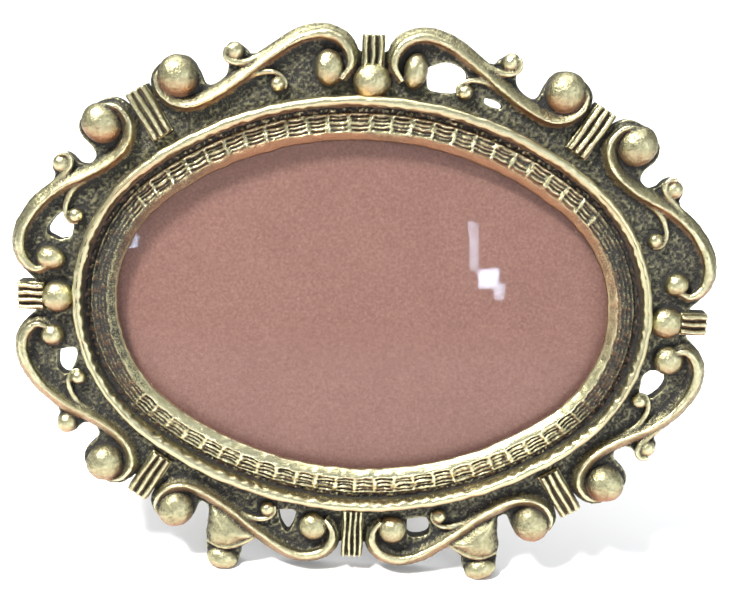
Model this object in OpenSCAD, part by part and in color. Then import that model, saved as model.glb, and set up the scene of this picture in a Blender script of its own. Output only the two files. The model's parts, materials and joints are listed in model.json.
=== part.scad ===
// Oval cast-brass display frame on an easel strut: domed glass, covered board,
// filler card and a back plate held by four turn buttons.
// The face frame has x to the right, y up the face and z out of the face, with
// z = 0 at the back of the casting. stand() leans it back on its two feet.

/* [Sight and glass] */
// Width of the sight opening
sight_w = 118; // [90:0.5:150]
// Height of the sight opening
sight_h = 81; // [62:0.5:105]
// Roundness of the oval's ends, as end radius over half height
end_roundness = 0.765; // [0.7:0.005:0.85]
// How far the lip laps over the glass
glass_lap = 4.2; // [3:0.1:5]
// Clearance all round the glass, the cards and the back plate
rabbet_gap = 0.3; // [0.2:0.05:0.5]
// Thickness of the glass
glass_t = 1.8; // [1.5:0.1:2.5]
// Rise of the glass dome
dome_rise = 3; // [1:0.1:4]

/* [Backing] */
// Thickness of the leatherette cover
cover_t = 0.4; // [0.3:0.1:1]
// Thickness of the board under the cover
core_t = 1; // [0.8:0.1:2]
// Thickness of the filler card
card_t = 0.6; // [0.5:0.1:2]
// Thickness of the back plate
plate_t = 0.8; // [0.6:0.1:1.5]

/* [Moulding] */
// Width of the moulding from the sight edge to the outside of the rim bead
moulding_w = 10.4; // [9.5:0.1:13]
// Width of the rim bead
bead_w = 2.6; // [2:0.1:3]
// Height of the rim bead's top over the back of the casting
bead_z = 9; // [8:0.1:12]
// Size of the steps that round the bead
bead_step = 0.6; // [0.3:0.1:0.8]
// Width of the groove inside the bead
groove_w = 1.8; // [1:0.1:2.4]
// Thickness of the lip over the glass
lip_t = 1; // [0.8:0.1:2]
// Width of the smooth lip
lip_w = 1.8; // [1.2:0.1:2.4]
// Rise from the lip to its crest
crest_rise = 1; // [0.5:0.1:1.5]
// Fall of the woven band from the crest to the groove inside the bead
band_fall = 1; // [0.4:0.1:1.2]

/* [Scroll border] */
// Height of the border's back over the back of the casting
web_back = 0.8; // [0.5:0.1:2]
// Thickness of the border's ground
web_t = 3.4; // [3:0.1:5]
// Height of the scroll ridges over the ground
scroll_h = 3; // [2:0.1:4]
// Width of the scroll ridges
scroll_w = 2.6; // [2:0.1:3]
// Radius of the big knobs
knob_r = 4.1; // [3.5:0.1:4.6]
// Radius of the bosses under the lobes
egg_r = 3.2; // [2.5:0.1:3.6]
// Radius of the bosses beside the top and end tabs
boss_r = 3.6; // [3:0.1:4]
// Radius of the small balls beside the bead
ball_r = 1.8; // [1.4:0.1:2.2]
// Radius of the small outer nubs
nub_r = 2; // [1.6:0.1:2.4]
// Width of the ribbed tabs
tab_w = 5.6; // [5:0.1:6.5]
// Height of the ribs on the tabs over the ground
rib_h = 2.6; // [1.5:0.1:3.5]
// Radius of the two feet
foot_r = 4.2; // [3.5:0.1:5]
// Depth ground off each foot to make its flat sole
sole_cut = 0.7; // [0.4:0.1:1]

/* [Stand] */
// How far the face leans back, in degrees
lean = 14; // [8:0.5:18]
// Angle of the strut from upright, in degrees
strut_angle = 17; // [12:0.5:22]
// Height of the hinge over the centre of the oval
hinge_rise = 12; // [5:0.5:20]
// Diameter of the hinge pin
pin_d = 1.6; // [1.4:0.1:2]
// Wall of the hinge knuckles
knuckle_wall = 1.1; // [0.9:0.1:1.5]
// Length of the whole hinge
hinge_w = 16; // [14:0.5:20]
// Length of the strut's own knuckle
mid_knuckle_w = 6; // [5:0.5:8]
// Running clearance of the strut on its pin
pin_play = 0.06; // [0.02:0.01:0.1]
// Gap between moving faces at the hinge
hinge_gap = 0.3; // [0.2:0.05:0.5]
// Thickness of the hinge leaf
leaf_t = 0.8; // [0.6:0.1:1.2]
// Height of the hinge leaf over the pin
leaf_h = 13; // [11:0.5:18]
// Diameter of the rivet shanks
rivet_d = 1.8; // [1.5:0.1:2.2]
// Thickness of the strut
strut_t = 1.2; // [1:0.1:1.6]
// Width of the strut below the hinge
strut_w = 13; // [10:0.5:16]
// Width of the strut at its foot
strut_tip_w = 9; // [7:0.5:12]

/* [Turn buttons] */
// Thickness of the turn buttons
button_t = 0.8; // [0.6:0.1:1.2]
// Reach of the turn buttons from screw to tip
button_reach = 7; // [6.5:0.1:7.5]
// Width of the turn buttons' arms
button_w = 4; // [3:0.1:5]
// Diameter of the button screws
screw_d = 2; // [1.6:0.1:2.4]
// Depth of the screws in the casting
screw_depth = 4; // [3:0.1:5]
// Diameter of the screw heads
screw_head_d = 4; // [3.6:0.1:4.6]
// Gap under the turn buttons and under the screw heads
button_gap = 0.05; // [0.05:0.01:0.15]

/* [Hidden] */
$fn = 64;

brass = "#b3a26a";
dark_brass = "#8f7f52";
steel = "#9a9a98";
leatherette = "#a5786c";
card = "#a08a64";

// The sight is a four-centred oval: two end arcs and two long arcs, all tangent.
half_w = sight_w / 2;
half_h = sight_h / 2;
end_r = half_h * end_roundness;
long_r = (pow(half_w - end_r, 2) + pow(half_h, 2) - pow(end_r, 2)) / (2 * (half_h - end_r));
end_x = half_w - end_r;
long_y = long_r - half_h;
joint_a = atan2(end_x, long_y);

// Places on the border are given as [run, rise]: the run along the outside of the
// bead, in mm from the top of the oval, and the rise outwards from the bead.
rim_long_r = long_r + moulding_w;
rim_end_r = end_r + moulding_w;
long_run = rim_long_r * joint_a * PI / 180;
quarter = long_run + rim_end_r * (90 - joint_a) * PI / 180;
function run_angle(run) = run < long_run
    ? run / rim_long_r * 180 / PI
    : joint_a + (run - long_run) / rim_end_r * 180 / PI;
function rim_at(run, rise) = run < long_run
    ? [0, -long_y] + (rim_long_r + rise) * [sin(run_angle(run)), cos(run_angle(run))]
    : [end_x, 0] + (rim_end_r + rise) * [sin(run_angle(run)), cos(run_angle(run))];

// The diagonal tab parts each quarter into a side and an end. The scrolls are
// drawn for a side 49 mm and an end 46 mm long, and stretch with the oval.
tab_run = 0.517 * quarter;
side_k = tab_run / 49.2;
end_k = (quarter - tab_run) / 46.1;
function side_at(p) = rim_at(p[0] * side_k, p[1]);
function end_at(p) = rim_at(quarter - p[0] * end_k, p[1]);

// Centre lines, from the lobe beside the main tab to the curl round the big knob
side_scroll = [
    [6.6, 4.4], [4.6, 6.8], [4.8, 9.5], [6.6, 12.3], [9.6, 13.9], [12.5, 13.9], [16, 12.8],
    [20, 11], [24, 9.2], [28.5, 7.2], [33, 5.9], [37.5, 5.4], [41, 5.8], [43.3, 7.6],
    [44.5, 10], [44.6, 12.5], [44, 14.5]
];
end_scroll = [
    [6.3, 7.7], [5.6, 9.6], [6.8, 12], [9.3, 13.6], [12.5, 14], [16.5, 13], [20, 11.4],
    [23.5, 9.5], [27, 7], [31, 5.1], [35.5, 4.6], [39, 5.9], [41, 8.2], [41.4, 10.6],
    [40.6, 13.2], [38.8, 15]
];
// Outline of the ground, from the tab at the top to the diagonal tab, and from the
// tab at the end to the diagonal tab
side_edge = [
    [2.8, 13.4], [2.9, 10], [4, 11.7], [5.8, 14], [8.8, 15.4], [12.6, 15.5],
    [16.6, 14.4], [20.2, 12.8], [22.6, 12], [25, 12.2], [25.9, 13.4], [26.4, 15], [27.9, 15.6],
    [29.4, 15], [29.9, 13.4], [29.7, 11.2], [31, 9], [34, 8], [36, 8.6], [36.1, 12],
    [36.7, 15.4], [38.4, 17.2], [41, 17.5], [44, 16.9], [45.8, 15.4], [46.3, 12.6], [46.5, 14.6]
];
end_edge = [
    [2.8, 13.4], [2.9, 10], [4, 11.4], [5.6, 13.5], [8.6, 15.2], [12.5, 15.7],
    [16.8, 14.7], [20, 13.2], [22, 12.7], [24, 13], [24.6, 14.4], [26.2, 14.9], [27.8, 14.4],
    [28.3, 12.8], [28.2, 9.8], [29.4, 8], [31.4, 8], [32.2, 10], [32.3, 14], [33.4, 16.2],
    [36, 17.3], [39.4, 16.9], [41.6, 15.4], [42.8, 12.6], [43.3, 14.6]
];
// Openings through the ground beside the boss and beside the small ball
side_gaps = [
    [[12.9, 4], [13, 8], [14.4, 10.6], [17.4, 9.4], [18.4, 6.4], [17.6, 3.2], [14.6, 2.8]],
    [[23.6, 3], [23.4, 4.8], [27, 4.8], [31, 3.8], [31, 2.9]]
];
end_gaps = [
    [[12, 4], [12.2, 8], [13.4, 10.8], [16.4, 9.8], [17.2, 6.4], [16.2, 3.2], [13.6, 2.8]],
    [[21.8, 2.9], [21.6, 5], [24.6, 5.2], [28, 3.4], [28, 2.8]]
];
side_knob = [40.4, 13.4];
end_knob = [36.6, 13.2];
side_egg = [9.3, 6.2];
end_egg = [8.3, 6.4];
side_ball = [20.8, 4.1];
end_ball = [18.9, 3.9];
side_nub = [27.9, 13.6];
end_nub = [26.2, 12.9];
foot_at = [26.6, 18];
boss_rise = 3.1;
// Rises of the tabs' inner and outer ends
diagonal_tab = [3, 14.6];
top_tab = [7, 13.4];
bottom_tab = [1, 13.4];
end_tab = [7.5, 13.4];

// Heights in the face frame
rabbet_z = plate_t + card_t + core_t + cover_t + glass_t;
lip_z = rabbet_z + lip_t;
crest_z = lip_z + crest_rise;
groove_z = crest_z - band_fall - 0.3;
ground_z = web_back + web_t;
scroll_z = ground_z + scroll_h;

// Offsets from the sight edge
rabbet_off = glass_lap + rabbet_gap;
screw_off = rabbet_off + screw_head_d / 2 + 1.2;

// The feet and the stand
foot_tip = -side_at(foot_at)[1] - foot_r;
origin_h = (-foot_tip - sole_cut) * cos(lean) - web_back * sin(lean);
knuckle_r = pin_d / 2 + knuckle_wall;
pin_z = -knuckle_r - hinge_gap;
open_a = lean + strut_angle;
pin_h = origin_h + hinge_rise * cos(lean) + pin_z * sin(lean);
strut_len = pin_h / cos(strut_angle) + 3;
rivet_x = hinge_w / 2 - 3.5;
rivet_y = hinge_rise + leaf_h - 4;
rivet_head_r = rivet_d / 2 + 0.9;
rivet_tail_t = 0.3;
// The depth of the whole thing is shared evenly before and behind the origin
front_y = foot_tip * sin(lean) - (ground_z + scroll_h) * cos(lean);
back_y = hinge_rise * sin(lean) - pin_z * cos(lean) + pin_h * tan(strut_angle)
    + knuckle_r / cos(strut_angle);
stand_y = -(front_y + back_y) / 2;

module stand() {
    translate([0, stand_y, origin_h])
        rotate([90 - lean, 0, 0])
            children();
}

module above_floor() {
    difference() {
        children();
        translate([-sight_w, -sight_w, -sight_w])
            cube([2 * sight_w, 2 * sight_w, sight_w]);
    }
}

module quarters() {
    for (x = [0, 1], y = [0, 1])
        mirror([x, 0, 0])
            mirror([0, y, 0])
                children();
}

module left_right() {
    for (x = [0, 1])
        mirror([x, 0, 0])
            children();
}

// The points of the first quarter, carried round the oval as one loop
function reversed(p) = [for (i = [len(p) - 1:-1:0]) p[i]];
function flipped(p, x, y) = [for (q = p) [x * q[0], y * q[1]]];
function round_the_oval(p) = concat(
    p, flipped(reversed(p), 1, -1), flipped(p, -1, -1), flipped(reversed(p), -1, 1)
);

// Closed loop of points round the oval, off from the sight edge
steps = 16;
function oval_loop(off) = round_the_oval([
    for (i = [0.5:steps]) rim_at(quarter * i / steps, off - moulding_w)
]);

// Flat oval plate whose edge is off from the sight edge
module oval_plate(off, t) {
    linear_extrude(t)
        polygon(oval_loop(off));
}

// Smooth curve through p[i] and p[i + 1]
function on_curve(p, i, t) =
    let (
        last = len(p) - 1,
        a = i > 0 ? p[i - 1] : 2 * p[0] - p[1],
        b = p[i],
        c = p[i + 1],
        d = i < last - 1 ? p[i + 2] : 2 * p[last] - p[last - 1]
    )
    (2 * b + (c - a) * t + (2 * a - 5 * b + 4 * c - d) * t * t
        + (3 * b - a - 3 * c + d) * t * t * t) / 2;
function smooth(p) = [
    for (i = [0:len(p) - 2], t = [0, 0.5]) on_curve(p, i, t),
    p[len(p) - 1]
];
function left_of(v) = [-v[1], v[0]] / norm(v);
function normal_at(p, i) = left_of(p[min(i + 1, len(p) - 1)] - p[max(i - 1, 0)]);

// Ribbon along a path, so wide on its left and on its right
module ribbon(path, left, right) {
    p = smooth(path);
    last = len(p) - 1;
    polygon(concat(
        [for (i = [0:last]) p[i] + normal_at(p, i) * left],
        [for (i = [last:-1:0]) p[i] - normal_at(p, i) * right]
    ));
}

side_path = [for (p = side_scroll) side_at(p)];
end_path = [for (p = end_scroll) end_at(p)];
ground_edge = concat(
    [for (p = side_edge) side_at(p)],
    reversed([for (p = end_edge) end_at(p)])
);

// One side of the ground's openings; two of the lobes have solid ground
module gaps_2d(left, top) {
    for (p = top && left ? [] : side_gaps)
        polygon([for (q = p) side_at(q)]);
    for (p = top && !left ? [] : end_gaps)
        polygon([for (q = p) end_at(q)]);
}

module border_ground() {
    translate([0, 0, web_back])
        linear_extrude(web_t)
            difference() {
                polygon(round_the_oval(ground_edge));
                polygon(oval_loop(moulding_w - bead_w - 1));
                for (x = [0, 1], y = [0, 1])
                    mirror([x, 0, 0])
                        mirror([0, y, 0])
                            gaps_2d(x == 1, y == 0);
            }
}

module border_ridges() {
    half = scroll_w / 2;
    translate([0, 0, ground_z - 0.5])
        linear_extrude(scroll_h + 0.5)
            quarters() {
                ribbon(side_path, half, half);
                ribbon(end_path, half, half);
            }
}

// Ball resting in the ground, its middle at the ground's face
module boss(at, r) {
    translate([at[0], at[1], ground_z + 0.2])
        sphere(r);
}

module bosses() {
    quarters() {
        boss(side_at(side_knob), knob_r);
        boss(end_at(end_knob), knob_r);
        boss(side_at(side_egg), egg_r);
        boss(end_at(end_egg), egg_r);
        boss(side_at(side_ball), ball_r);
        boss(end_at(end_ball), ball_r);
        boss(end_at(end_nub), nub_r);
        boss(side_at(side_nub), nub_r);
    }
    boss(rim_at(0, boss_rise), boss_r);
    left_right()
        boss(rim_at(quarter, boss_rise), boss_r);
}

// Ribs run out along the tab
module tab_ribs(run, rises) {
    ribs = 3;
    pitch = tab_w / ribs;
    at = rim_at(run, rises[0]);
    translate([at[0], at[1], ground_z - 0.5])
        rotate([0, 0, -run_angle(run)])
            for (i = [0:ribs - 1])
                translate([-tab_w / 2 + pitch * (i + 0.14), 0, 0])
                    cube([pitch * 0.72, rises[1] - rises[0], rib_h + 0.5]);
}

module tabs() {
    quarters()
        tab_ribs(tab_run, diagonal_tab);
    tab_ribs(0, top_tab);
    mirror([0, 1, 0])
        tab_ribs(0, bottom_tab);
    left_right()
        tab_ribs(quarter, end_tab);
}

// A foot is a lobe that hangs from the lower scroll, with a rounded end
module feet() {
    foot = side_at(foot_at);
    root = side_at([25, 9]);
    left_right()
        mirror([0, 1, 0]) {
            translate([0, 0, web_back])
                linear_extrude(scroll_z - web_back)
                    ribbon([root, (root + foot) / 2, foot], foot_r - 0.6, foot_r - 0.6);
            translate([foot[0], foot[1], web_back])
                cylinder(r = foot_r, h = scroll_z - web_back);
        }
}

// Straight-sided oval from one height to another
module oval_block(off, from, to) {
    translate([0, 0, from])
        oval_plate(off, to - from);
}

// The band falls in narrow cords from the crest of the lip to the groove, and the
// bead stands outside the groove.
module moulding() {
    cords = 4;
    bead_in = moulding_w - bead_w;
    cord_w = (bead_in - groove_w - lip_w) / cords;
    difference() {
        union() {
            oval_block(bead_in + 0.5, rabbet_z - 1, groove_z);
            for (i = [0:cords - 1])
                oval_block(lip_w + (i + 1) * cord_w, rabbet_z - 0.5, crest_z - band_fall * i / cords);
            difference() {
                union() {
                    oval_block(moulding_w, 0, bead_z - bead_step);
                    oval_block(moulding_w - bead_step, 1, bead_z);
                }
                oval_block(bead_in, rabbet_z, bead_z + 1);
                oval_block(bead_in + bead_step, bead_z - bead_step, bead_z + 2);
            }
        }
        oval_block(rabbet_off, -1, rabbet_z);
        oval_block(0, -2, bead_z + 3);
        oval_block(lip_w / 2, lip_z, bead_z + 4);
    }
}

// Places of the button screws, in the first quarter
screw_at = rim_at(0.42 * quarter, screw_off - moulding_w);
screw_a = run_angle(0.42 * quarter);

module cast_frame() {
    color(brass)
        above_floor()
            stand()
                difference() {
                    union() {
                        moulding();
                        border_ground();
                        border_ridges();
                        bosses();
                        tabs();
                        feet();
                    }
                    quarters()
                        translate([screw_at[0], screw_at[1], -1])
                            cylinder(d = screw_d + 0.04, h = screw_depth + 1.5);
                }
}

// Ellipsoid whose cap has its rim level with z = 0 at the glass's edge
module dome(rise) {
    r = (pow(half_w + glass_lap, 2) + rise * rise) / (2 * rise);
    scale([1, (half_h + glass_lap) / (half_w + glass_lap), 1])
        translate([0, 0, rise - r])
            sphere(r, $fn = 300);
}

module domed_glass() {
    edge_z = rabbet_z - glass_t;
    color([0.8, 0.9, 0.9, 0.4])
        stand()
            difference() {
                union() {
                    translate([0, 0, edge_z])
                        oval_plate(glass_lap, glass_t);
                    translate([0, 0, edge_z + glass_t])
                        intersection() {
                            translate([0, 0, -0.2])
                                oval_plate(-1, dome_rise + 1);
                            dome(dome_rise);
                        }
                }
                translate([0, 0, edge_z])
                    intersection() {
                        translate([0, 0, -1])
                            oval_plate(-1.5, dome_rise + 1);
                        dome(dome_rise);
                    }
            }
}

module board_cover() {
    color(leatherette)
        stand()
            translate([0, 0, plate_t + card_t + core_t])
                oval_plate(glass_lap, cover_t);
}

module board_core() {
    color(card)
        stand()
            translate([0, 0, plate_t + card_t])
                oval_plate(glass_lap, core_t);
}

// The card has two holes that clear the rivets' tails
module filler_card() {
    color(card)
        stand()
            difference() {
                translate([0, 0, plate_t])
                    oval_plate(glass_lap, card_t);
                left_right()
                    translate([rivet_x, rivet_y, 0])
                        cylinder(r = rivet_head_r + 0.4, h = 2 * (plate_t + card_t));
            }
}

module back_plate() {
    color(dark_brass)
        stand()
            difference() {
                oval_plate(glass_lap, plate_t);
                left_right()
                    translate([rivet_x, rivet_y, -1])
                        cylinder(d = rivet_d + 0.1, h = plate_t + 2);
            }
}

module knuckle(x, w) {
    translate([x - w / 2, hinge_rise, pin_z])
        rotate([0, 90, 0])
            cylinder(r = knuckle_r, h = w);
}

module pin_hole(clearance) {
    translate([-hinge_w, hinge_rise, pin_z])
        rotate([0, 90, 0])
            cylinder(r = pin_d / 2 + clearance, h = 2 * hinge_w);
}

module hinge_leaf() {
    side_w = (hinge_w - mid_knuckle_w) / 2 - hinge_gap;
    notch_w = mid_knuckle_w + 2 * hinge_gap;
    color(brass)
        stand()
            difference() {
                union() {
                    translate([-hinge_w / 2, hinge_rise, -leaf_t])
                        cube([hinge_w, leaf_h, leaf_t]);
                    left_right()
                        knuckle((hinge_w - side_w) / 2, side_w);
                }
                translate([-notch_w / 2, hinge_rise - 1, -leaf_t - 1])
                    cube([notch_w, knuckle_r + hinge_gap + 1, leaf_t + 2]);
                pin_hole(0.02);
                left_right()
                    translate([rivet_x, rivet_y, -leaf_t - 1])
                        cylinder(d = rivet_d + 0.1, h = leaf_t + 2);
            }
}

// Domed head behind the leaf, and a flat tail inside the back plate
module leaf_rivet(side) {
    color(dark_brass)
        stand()
            translate([side * rivet_x, rivet_y, 0]) {
                translate([0, 0, -leaf_t])
                    cylinder(d = rivet_d, h = leaf_t + plate_t + rivet_tail_t);
                translate([0, 0, plate_t])
                    cylinder(r = rivet_head_r - 0.3, h = rivet_tail_t);
                translate([0, 0, -leaf_t])
                    intersection() {
                        sphere(r = rivet_head_r);
                        translate([-5, -5, -1.1])
                            cube([10, 10, 1.1]);
                    }
            }
}

module leaf_rivet_left() {
    leaf_rivet(-1);
}

module leaf_rivet_right() {
    leaf_rivet(1);
}

module hinge_pin() {
    color(steel)
        stand()
            translate([-hinge_w / 2 - 0.5, hinge_rise, pin_z])
                rotate([0, 90, 0])
                    cylinder(d = pin_d, h = hinge_w + 1);
}

// The strap is drawn folded flat against the back, then opened about the pin.
// The heel above the pin bears on the leaf and stops the strut.
module strut_leg() {
    heel_l = 6;
    heel_t = 1.2;
    neck_l = knuckle_r + 1.6;
    neck_w = mid_knuckle_w - 0.4;
    color(brass)
        above_floor()
            stand()
                difference() {
                    union() {
                        knuckle(0, mid_knuckle_w);
                        translate([-neck_w / 2, hinge_rise, -leaf_t - button_gap - heel_t])
                            cube([neck_w, heel_l, heel_t]);
                        translate([0, hinge_rise, pin_z])
                            rotate([open_a, 0, 0])
                                translate([0, 0, -knuckle_r])
                                    linear_extrude(strut_t)
                                        polygon([
                                            [-neck_w / 2, 0], [-neck_w / 2, -neck_l],
                                            [-strut_w / 2, -neck_l - 3], [-strut_tip_w / 2, -strut_len],
                                            [strut_tip_w / 2, -strut_len], [strut_w / 2, -neck_l - 3],
                                            [neck_w / 2, -neck_l], [neck_w / 2, 0]
                                        ]);
                    }
                    pin_hole(pin_play);
                }
}

// The button closed, its arm over the back plate
module turn_button(x, y) {
    tip_r = button_w / 2;
    color(brass)
        stand()
            mirror([x, 0, 0])
                mirror([0, y, 0])
                    translate([screw_at[0], screw_at[1], -button_gap - button_t])
                        rotate([0, 0, -screw_a])
                            difference() {
                                union() {
                                    cylinder(r = screw_head_d / 2 + 0.6, h = button_t);
                                    translate([-tip_r, tip_r - button_reach, 0])
                                        cube([button_w, button_reach - tip_r, button_t]);
                                    translate([0, tip_r - button_reach, 0])
                                        cylinder(r = tip_r, h = button_t);
                                }
                                translate([0, 0, -1])
                                    cylinder(r = screw_d / 2 + pin_play, h = button_t + 2);
                            }
}

module turn_button_top_left() {
    turn_button(1, 0);
}

module turn_button_top_right() {
    turn_button(0, 0);
}

module turn_button_bottom_left() {
    turn_button(1, 1);
}

module turn_button_bottom_right() {
    turn_button(0, 1);
}

// Slotted cheese-head screw
module button_screw(x, y) {
    head_h = 1.2;
    head_z = -button_t - 2 * button_gap - head_h;
    color(steel)
        stand()
            mirror([x, 0, 0])
                mirror([0, y, 0])
                    translate([screw_at[0], screw_at[1], 0])
                        difference() {
                            union() {
                                translate([0, 0, head_z])
                                    cylinder(d = screw_head_d, h = head_h);
                                translate([0, 0, head_z + 0.2])
                                    cylinder(d = screw_d, h = screw_depth - head_z - 0.2);
                            }
                            translate([-screw_head_d, -0.3, head_z - 1])
                                cube([2 * screw_head_d, 0.6, 1.6]);
                        }
}

module button_screw_top_left() {
    button_screw(1, 0);
}

module button_screw_top_right() {
    button_screw(0, 0);
}

module button_screw_bottom_left() {
    button_screw(1, 1);
}

module button_screw_bottom_right() {
    button_screw(0, 1);
}

cast_frame();
domed_glass();
board_cover();
board_core();
filler_card();
back_plate();
hinge_leaf();
leaf_rivet_left();
leaf_rivet_right();
hinge_pin();
strut_leg();
turn_button_top_left();
turn_button_top_right();
turn_button_bottom_left();
turn_button_bottom_right();
button_screw_top_left();
button_screw_top_right();
button_screw_bottom_left();
button_screw_bottom_right();
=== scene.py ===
# %% [markdown]
# # An oval cast-brass frame
# The object is a small antique table frame: a cast-brass oval with a pierced scroll
# border, a domed glass over an empty covered board, and a strut behind. The packed
# CAD model gives the place and the lean of the face. The sizes of the oval and of
# its ornament are written out below, in millimetres. Here the front of the frame gets
# its relief, and every piece its finish.

# %% Load the frame
import json
import math
import bpy
import numpy as np
from mathutils import Matrix, Vector


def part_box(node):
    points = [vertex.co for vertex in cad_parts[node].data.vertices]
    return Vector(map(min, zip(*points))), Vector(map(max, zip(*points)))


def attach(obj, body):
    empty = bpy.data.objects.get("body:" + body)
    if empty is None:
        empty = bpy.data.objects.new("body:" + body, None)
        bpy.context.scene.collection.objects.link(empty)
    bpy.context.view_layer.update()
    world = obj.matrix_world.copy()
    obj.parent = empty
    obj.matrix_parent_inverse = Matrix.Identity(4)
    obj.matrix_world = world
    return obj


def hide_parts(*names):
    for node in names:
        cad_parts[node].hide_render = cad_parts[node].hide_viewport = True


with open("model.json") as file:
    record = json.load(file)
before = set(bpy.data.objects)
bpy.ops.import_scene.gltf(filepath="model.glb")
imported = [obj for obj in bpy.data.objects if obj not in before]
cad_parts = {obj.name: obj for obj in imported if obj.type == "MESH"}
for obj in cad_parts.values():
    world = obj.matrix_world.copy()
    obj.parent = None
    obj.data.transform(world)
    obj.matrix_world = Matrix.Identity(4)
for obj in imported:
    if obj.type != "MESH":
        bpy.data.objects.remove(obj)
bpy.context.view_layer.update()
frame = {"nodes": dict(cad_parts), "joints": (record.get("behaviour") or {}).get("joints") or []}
print("frame loaded,", len(frame["nodes"]), "pieces")

# %% [markdown]
# The face of the frame leans back, which is awkward to model on. It is easier to
# model the casting lying flat on the bench, in millimetres, and to stand it up at the
# end. The lean is read from the axis of a turn button's screw, and the middle of
# the oval from the back plate.

# %% The bench and the stand
button_axis = [j for j in frame["joints"] if j["name"].startswith("button")][0]["axis"]
face_normal = Vector(button_axis).normalized()
lean = math.asin(face_normal.z)
plate_low, plate_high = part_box("back_plate")
plate_t = 0.8
face_origin = (plate_low + plate_high) / 2 - face_normal * plate_t / 2000
stand = (Matrix.Translation(face_origin) @ Matrix.Rotation(math.pi / 2 - lean, 4, "X")
         @ Matrix.Diagonal((0.001, 0.001, 0.001, 1)))
print("the face leans", round(math.degrees(lean), 1), "degrees")

# %% [markdown]
# The oval is drawn with four arcs, two tight ones at the ends and two long ones
# above and below. A place on the border is given by its run, measured round the
# outside of the rim bead from the top, and its rise, measured outwards from there.

# %% The oval
half_w, half_h = 59.0, 40.5
end_roundness = 0.765
end_r = end_roundness * half_h
long_r = ((half_w - end_r) ** 2 + half_h ** 2 - end_r ** 2) / (2 * (half_h - end_r))
end_x = half_w - end_r
long_y = long_r - half_h
joint_a = math.atan2(end_x, long_y)
moulding_w = 10.4
long_run = (long_r + moulding_w) * joint_a
quarter = long_run + (end_r + moulding_w) * (math.pi / 2 - joint_a)
side_length, end_length = 49.2, 46.1
tab_run = 0.517 * quarter


def rim_at(run, rise):
    """Points of the first quarter, for arrays of runs and rises."""
    run = np.asarray(run, float)
    rise = np.asarray(rise, float)
    on_long = run < long_run
    angle = np.where(on_long, run / (long_r + moulding_w),
                     joint_a + (run - long_run) / (end_r + moulding_w))
    radius = np.where(on_long, long_r, end_r) + moulding_w + rise
    x = np.where(on_long, 0, end_x) + radius * np.sin(angle)
    y = np.where(on_long, -long_y, 0) + radius * np.cos(angle)
    return x, y


def oval_at(turn, off):
    """Points round the whole oval: turn runs from 0 to 4, a quarter at a time."""
    turn = np.mod(np.asarray(turn, float), 4)
    part = np.floor(turn)
    along = turn - part
    along = np.where(part % 2 == 1, 1 - along, along)
    x, y = rim_at(along * quarter, np.asarray(off, float) - moulding_w)
    x = np.where(part >= 2, -x, x)
    y = np.where((part == 1) | (part == 2), -y, y)
    return x, y


print("a quarter of the rim runs", round(quarter, 1), "mm")

# %% [markdown]
# Cast metal is never even, so the shapes are disturbed by smooth noise. Random
# values sit on a lattice and are blended between its points. The seed is fixed, so
# the casting comes out the same each time.

# %% Noise
lattice = np.random.default_rng(7).random((32, 32, 32)) * 2 - 1


def noise(points, size, seed=0):
    """Smooth values from -1 to 1 at points, with lumps of the given size."""
    p = np.asarray(points, float) / size + seed * 7.31
    base = np.floor(p).astype(int)
    f = p - base
    f = f * f * (3 - 2 * f)
    total = 0
    for dx in (0, 1):
        for dy in (0, 1):
            for dz in (0, 1):
                w = (np.where(dx, f[:, 0], 1 - f[:, 0]) * np.where(dy, f[:, 1], 1 - f[:, 1])
                     * np.where(dz, f[:, 2], 1 - f[:, 2]))
                i = (base + (dx, dy, dz)) % 32
                total = total + w * lattice[i[:, 0], i[:, 1], i[:, 2]]
    return total


def ramp(x, low, high):
    """Rises smoothly from 0 at low to 1 at high."""
    t = np.clip((x - low) / (high - low), 0, 1)
    return t * t * (3 - 2 * t)


print("noise lattice of", lattice.size, "values")


# %% [markdown]
# Almost everything here is a sheet wrapped round something: the moulding is a strip
# bent round the oval, a scroll is a tapered tube, the glass is a disc. So one helper
# adds a flat grid, moves its points to where a function puts them, and merges the
# edges that meet.

# %% Sheets, tubes and balls
def select_only(*objects):
    bpy.ops.object.select_all(action="DESELECT")
    for o in objects:
        o.select_set(True)
    bpy.context.view_layer.objects.active = objects[0]


def points_of(obj):
    co = np.empty(len(obj.data.vertices) * 3)
    obj.data.vertices.foreach_get("co", co)
    return co.reshape(-1, 3)


def set_points(obj, co):
    obj.data.vertices.foreach_set("co", np.asarray(co, np.float32).ravel())
    obj.data.update()


def tidy_mesh(obj, reach=1e-4):
    select_only(obj)
    bpy.ops.object.mode_set(mode="EDIT")
    bpy.ops.mesh.select_all(action="SELECT")
    bpy.ops.mesh.remove_doubles(threshold=reach)
    bpy.ops.mesh.normals_make_consistent(inside=False)
    bpy.ops.object.mode_set(mode="OBJECT")


def wrapped_sheet(name, columns, rows, place):
    """A grid of so many columns and rows, whose points place(u, v) puts in space."""
    bpy.ops.object.select_all(action="DESELECT")
    bpy.ops.mesh.primitive_grid_add(x_subdivisions=columns, y_subdivisions=rows, size=1)
    obj = bpy.context.object
    obj.name = name
    flat = points_of(obj)
    u = np.round((flat[:, 0] + 0.5) * columns) / columns
    v = np.round((flat[:, 1] + 0.5) * rows) / rows
    set_points(obj, place(u, v))
    tidy_mesh(obj)
    return obj


def smooth_path(points, each=5):
    """Even, rounded path through a few points."""
    p = np.asarray(points, float)
    p = np.vstack([2 * p[0] - p[1], p, 2 * p[-1] - p[-2]])
    out = []
    for i in range(1, len(p) - 2):
        for t in np.arange(each) / each:
            a, b, c, d = p[i - 1:i + 3]
            out.append((2 * b + (c - a) * t + (2 * a - 5 * b + 4 * c - d) * t ** 2
                        + (3 * b - a - 3 * c + d) * t ** 3) / 2)
    out.append(p[-2])
    return np.array(out)


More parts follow.
